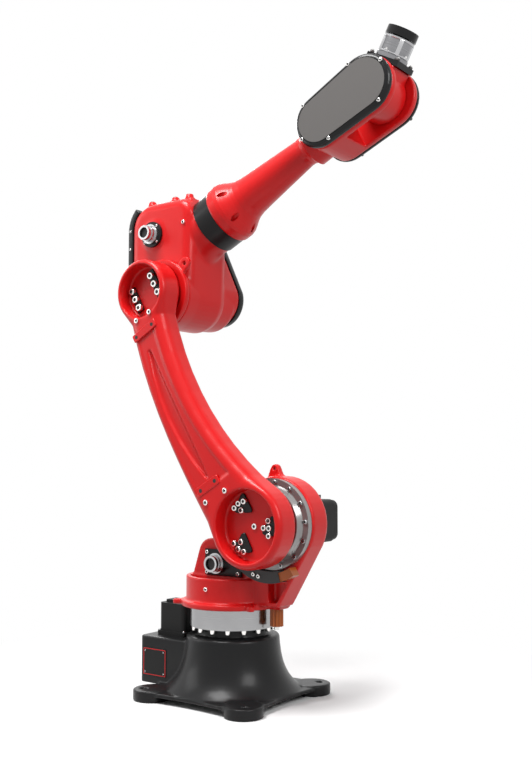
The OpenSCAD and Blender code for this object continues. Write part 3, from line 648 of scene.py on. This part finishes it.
entry = {"x": -42, "z": 190, "count": 4, "circle": 34.5, "start": 45, "size": (3.6, 3.6, 4)}
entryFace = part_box("elbow_gland_plate")[0].y / mm
screwSet("elbowGlandScrews", "elbow",
         [spot(levelFrame, (entry["x"] + x, entryFace, entry["z"] + z), near, entry["size"])
          for x, z in ringOf(entry["count"], entry["circle"], entry["start"])])
frontScrew = {"x": 79, "z": 214, "rise": 12, "size": (6, 6, 6)}
frontPlace = (frontScrew["x"], entryFace + frontScrew["rise"], frontScrew["z"])
screwSet("elbowFrontScrew", "elbow", [spot(levelFrame, frontPlace, near, frontScrew["size"])])
bossTop = {"rows": (-92, 4, 60), "side": 44, "level": 311, "hole": (6.5, 6.5, 5)}
closeGap = 0.001
frontBoss = {"foot": 293, "steps": 24,
             "profile": ((0, 0), (15, 0), (14.6, 2), (11.6, 16.4), (10.2, 18), (0, 18))}


# the boss row beside the black ring, where the casting's own row is cut away
def frontBosses():
    work = bmesh.new()
    turnedPiece(work, frontBoss["profile"], frontBoss["steps"])
    bmesh.ops.remove_doubles(work, verts=work.verts, dist=closeGap)
    bmesh.ops.transform(work, matrix=Matrix.Rotation(math.radians(-90), 4, "Y"), verts=work.verts)
    stampSet("elbowFrontBosses", "elbow", meshOf(work, "bossShape"),
             [levelFrame @ Matrix.Translation(Vector((bossTop["rows"][-1], y, frontBoss["foot"])) * mm)
              @ Matrix.Scale(mm, 4) for y in (-bossTop["side"], bossTop["side"])], [redPaint])


frontBosses()
holeSet("elbowBossHoles", "elbow",
        [spot(levelFrame, (x, y, bossTop["level"]), (0, 0, 1), bossTop["hole"])
         for x in bossTop["rows"] for y in (-bossTop["side"], bossTop["side"])], redPaint)
rearLow, rearHigh = [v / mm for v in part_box("elbow_rear_cover")]
rearScrews = {"inset": 10, "levels": (96, 160, 216), "size": (4, 4, 2.5)}
rearX = rearLow.x + rearScrews["inset"] - jointAt["j3_lift"][0].x / mm
screwSet("rearCoverScrews", "elbow",
         [spot(levelFrame, (rearX, y, z), (0, way, 0), rearScrews["size"])
          for y, way in ((rearLow.y, -1), (rearHigh.y, 1)) for z in rearScrews["levels"]])
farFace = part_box("elbow_far_cover")[1].y / mm
farScrews = {"places": ((-60, -8), (62, -6), (-104, 196), (-28, 232), (-110, 96), (56, 84)),
             "size": (5, 5, 3)}
screwSet("farCoverScrews", "elbow", [spot(levelFrame, (x, farFace, z), (0, 1, 0), farScrews["size"])
                                     for x, z in farScrews["places"]])

# painted shade: dark plugs set into the two cable entries stand in for the shade inside them

glandMouth = {"depth": 7, "profile": ((0, 0), (13.4, 0), (15.6, 1.6), (15.6, 5), (0, 5)), "steps": 32}


def glandMouths(nodeName):
    low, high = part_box(nodeName)
    work = bmesh.new()
    turnedPiece(work, glandMouth["profile"], glandMouth["steps"])
    bmesh.ops.remove_doubles(work, verts=work.verts, dist=closeGap)
    place = Matrix.Translation(((low.x + high.x) / 2, low.y + glandMouth["depth"] * mm, (low.z + high.z) / 2))
    bmesh.ops.transform(work, matrix=place @ Matrix.Rotation(math.radians(90), 4, "Z") @ Matrix.Scale(mm, 4),
                        verts=work.verts)
    finishPiece(work, nodeName + "_mouth", bodyOfNode[nodeName], [paintedHoleShade])


for nodeName in ("turret_gland", "elbow_gland"):
    glandMouths(nodeName)

# forearm: flange bolts in their pockets, cover screws

flangeBolts = {"count": 6, "circle": 79, "start": 15, "at": 288, "size": (6.6, 6.6, 7)}
screwSet("foreFlangeBolts", "forearm",
         [spot(foreFrame, (flangeBolts["at"], -side, up), (1, 0, 0), flangeBolts["size"])
          for up, side in ringOf(flangeBolts["count"], flangeBolts["circle"], flangeBolts["start"])])
# centre, radius and turns of each cover end
coverScrews = {"face": 88.6, "size": (5, 5, 3.4),
               "ends": ((687, 68, (-85, -165, 108)), (844, 75, (98, 15, -75)))}
coverSpots = [(centre + x, z) for centre, radius, turns in coverScrews["ends"]
              for x, z in (polar(radius, turn) for turn in turns)]
for name, way in (("nearCoverScrews", -1), ("farForkScrews", 1)):
    screwSet(name, "forearm",
             [spot(foreFrame, (x, way * coverScrews["face"], z), (0, way, 0), coverScrews["size"])
              for x, z in coverSpots])

# wrist: clamp tabs beside the reducer

tabShape = {"places": ((-35, 44), (-35, -44), (35, 44), (35, -44)), "middle": 100.4,
            "size": (11, 9, 7), "corner": 2.2, "screwAt": 103.9, "screw": (3.4, 3.4, 2.6)}


# block with soft edges, drawn in millimetres
def makeBlock(size, corner):
    work = bmesh.new()
    block = bmesh.ops.create_cube(work, size=1.0)["verts"]
    bmesh.ops.scale(work, verts=block, vec=size)
    bmesh.ops.bevel(work, geom=work.edges[:], offset=corner, offset_type="OFFSET", segments=3, profile=0.5,
                    affect="EDGES", material=-1)
    return meshOf(work, "blockShape")


stampSet("wristTabs", "wrist", makeBlock(tabShape["size"], tabShape["corner"]),
         [spot(wristFrame, (tabShape["middle"], y, z), (1, 0, 0)) for y, z in tabShape["places"]],
         [coverGrey])
screwSet("wristTabScrews", "wrist",
         [spot(wristFrame, (tabShape["screwAt"], y, z), (1, 0, 0), tabShape["screw"])
          for y, z in tabShape["places"]])

# wrist: turned collars, posts and bolts of the reducer

# start, stop and radius of each collar
collarShape = {"rings": ((109.0, 115.0, 43.2), (150.0, 156.6, 42.6)), "inner": 38.6, "edge": 1.2, "steps": 64}
postShape = {"count": 4, "circle": 37.4, "turn": 45, "middle": 131, "size": (12, 12, 44), "corner": 2}
postTurn = Matrix.Rotation(math.radians(postShape["turn"]), 4, "Z")
reducerRing = {"count": 4, "circle": 40.6, "at": 115, "size": (3, 3, 4.5)}


def reducerCollars():
    work = bmesh.new()
    for start, stop, radius in collarShape["rings"]:
        edge, inner = collarShape["edge"], collarShape["inner"]
        profile = ((inner, start), (radius - edge, start), (radius, start + edge), (radius, stop - edge),
                   (radius - edge, stop), (inner, stop))
        turnedPiece(work, profile, collarShape["steps"])
    bmesh.ops.transform(work, matrix=wristFrame @ Matrix.Scale(mm, 4), verts=work.verts)
    finishPiece(work, "reducerCollars", "wrist", [toolSteel])


reducerCollars()
stampSet("reducerPosts", "wrist", makeBlock(postShape["size"], postShape["corner"]),
         [spot(wristFrame, (postShape["middle"], y, z), (1, 0, 0)) @ postTurn
          for y, z in ringOf(postShape["count"], postShape["circle"], postShape["turn"])], [glandSteel])
screwSet("reducerBolts", "wrist", [spot(wristFrame, (reducerRing["at"], y, z), (1, 0, 0), reducerRing["size"])
                                   for y, z in ringOf(reducerRing["count"], reducerRing["circle"])])

# base: bare plate with a red frame on the cable box

plateShape = {"centre": (-221, -92, 84), "size": (90, 80), "thick": 1.6, "frame": 2.4, "strip": 3.2,
              "screws": (36, 31), "screwSize": (2.4, 2.4, 1.6)}


def barePlate():
    work = bmesh.new()
    ring = bmesh.ops.create_grid(work, x_segments=1, y_segments=1, size=0.5)["verts"]
    bmesh.ops.scale(work, verts=ring, vec=(plateShape["size"][0], plateShape["size"][1], 1))
    raised = bmesh.ops.extrude_face_region(work, geom=[ring[0].link_faces[0]])["geom"]
    bmesh.ops.translate(work, verts=vertsOf(raised), vec=(0, 0, plateShape["thick"]))
    top = faceOf(raised)
    bmesh.ops.inset_region(work, faces=[top], thickness=plateShape["frame"])
    strip = bmesh.ops.inset_region(work, faces=[top], thickness=plateShape["strip"])["faces"]
    for face in strip:
        face.material_index = 1
    bmesh.ops.transform(work, matrix=spot(worldFrame, plateShape["centre"], near), verts=work.verts)
    finishPiece(work, "boxPlate", "base", [motorBlack, redPaint])


barePlate()
plateX, plateY, plateZ = plateShape["centre"]
reachX, reachZ = plateShape["screws"]
plateFace = plateY - plateShape["thick"]
screwSet("boxPlateScrews", "base",
         [spot(worldFrame, (plateX + x, plateFace, plateZ + z), near, plateShape["screwSize"])
          for x in (-reachX, reachX) for z in (-reachZ, reachZ)], toolSteel)


# studio: pale floor, soft lamps, white background

def addLamp(name, location, target, size, power):
    data = bpy.data.lights.new(name, "AREA")
    data.shape = "RECTANGLE"
    data.size, data.size_y = size
    data.energy = power
    lamp = bpy.data.objects.new(name, data)
    lamp.location = location
    lamp.rotation_euler = (Vector(target) - Vector(location)).to_track_quat("-Z", "Y").to_euler()
    scene.collection.objects.link(lamp)


lamps = {"keyLamp": {"at": (-0.3, -1.6, 4.5), "size": (1.8, 1.6), "power": 205},
         "sideLamp": {"at": (3.7, -1.0, 2.9), "size": (1.8, 1.8), "power": 95},
         "fillLamp": {"at": (-3.2, -1.8, 1.9), "size": (1.8, 2.4), "power": 34},
         "rimLamp": {"at": (-3.0, 2.4, 2.8), "size": (2.4, 1.0), "power": 60}}
middle = (cadLow + cadHigh) / 2
for name, lamp in lamps.items():
    addLamp(name, lamp["at"], middle, lamp["size"], lamp["power"])


# rays that show the studio itself, as the rest only light the part
def seenRays(tree):
    path = tree.nodes.new("ShaderNodeLightPath")
    seen = mathNode(tree, "MAXIMUM", path.outputs["Is Camera Ray"], path.outputs["Is Transmission Ray"])
    return mathNode(tree, "MAXIMUM", seen, path.outputs["Is Glossy Ray"])


skyLight = 0.22
world = bpy.data.worlds.new("studio")
scene.world = world
world.use_nodes = True
tree = world.node_tree
sky = next(n for n in tree.nodes if n.type == "BACKGROUND")
sky.inputs["Color"].default_value = (1, 1, 1, 1)
seen = seenRays(tree)
tree.links.new(mathNode(tree, "MULTIPLY_ADD", seen, 1 - skyLight, skyLight), sky.inputs["Strength"])

floorDisc = {"segments": 96, "radius": 12.0, "drop": 0.0005}
floorFade = {"near": 0.45, "far": 1.2}
floorTones = {"seen": (0.93, 0.93, 0.93, 1), "bounce": (0.38, 0.38, 0.38, 1)}
floorMaterial, tree, shader = newMaterial("floorWhite", floorTones["seen"], roughness=0.6)
place = tree.nodes.new("ShaderNodeTexCoord")
reach = tree.nodes.new("ShaderNodeVectorMath")
reach.operation = "LENGTH"
tree.links.new(place.outputs["Object"], reach.inputs[0])
ramp = tree.nodes.new("ShaderNodeMapRange")
ramp.interpolation_type = "SMOOTHSTEP"
ramp.inputs["From Min"].default_value = floorFade["near"]
ramp.inputs["From Max"].default_value = floorFade["far"]
tree.links.new(reach.outputs["Value"], ramp.inputs["Value"])
seen = seenRays(tree)
tree.links.new(mixColour(tree, seen, floorTones["bounce"], floorTones["seen"]), shader.inputs["Base Color"])
glow = tree.nodes.new("ShaderNodeEmission")
melt = tree.nodes.new("ShaderNodeMixShader")
tree.links.new(mathNode(tree, "MULTIPLY", ramp.outputs["Result"], seen), melt.inputs[0])
tree.links.new(shader.outputs[0], melt.inputs[1])
tree.links.new(glow.outputs[0], melt.inputs[2])
ending = next(n for n in tree.nodes if n.type == "OUTPUT_MATERIAL")
tree.links.new(melt.outputs[0], ending.inputs["Surface"])
work = bmesh.new()
bmesh.ops.create_circle(work, cap_ends=True, segments=floorDisc["segments"], radius=floorDisc["radius"])
bmesh.ops.translate(work, verts=work.verts, vec=(0, 0, -floorDisc["drop"]))
floorMesh = meshOf(work, "floor")
floorMesh.materials.append(floorMaterial)
floor = bpy.data.objects.new("floor", floorMesh)
scene.collection.objects.link(floor)

cameraView = {"place": (1.7717, -2.2654, 0.6841), "tilt": 94.46, "turn": 36.13, "sensor": 36.0, "lens": 46.05}
cameraData = bpy.data.cameras.new("photoView")
cameraData.sensor_width = cameraView["sensor"]
cameraData.lens = cameraView["lens"]
camera = bpy.data.objects.new("photoView", cameraData)
camera.location = cameraView["place"]
camera.rotation_euler = (math.radians(cameraView["tilt"]), 0, math.radians(cameraView["turn"]))
scene.collection.objects.link(camera)
scene.camera = camera
scene.view_settings.view_transform = "Standard"
print("studio ready")
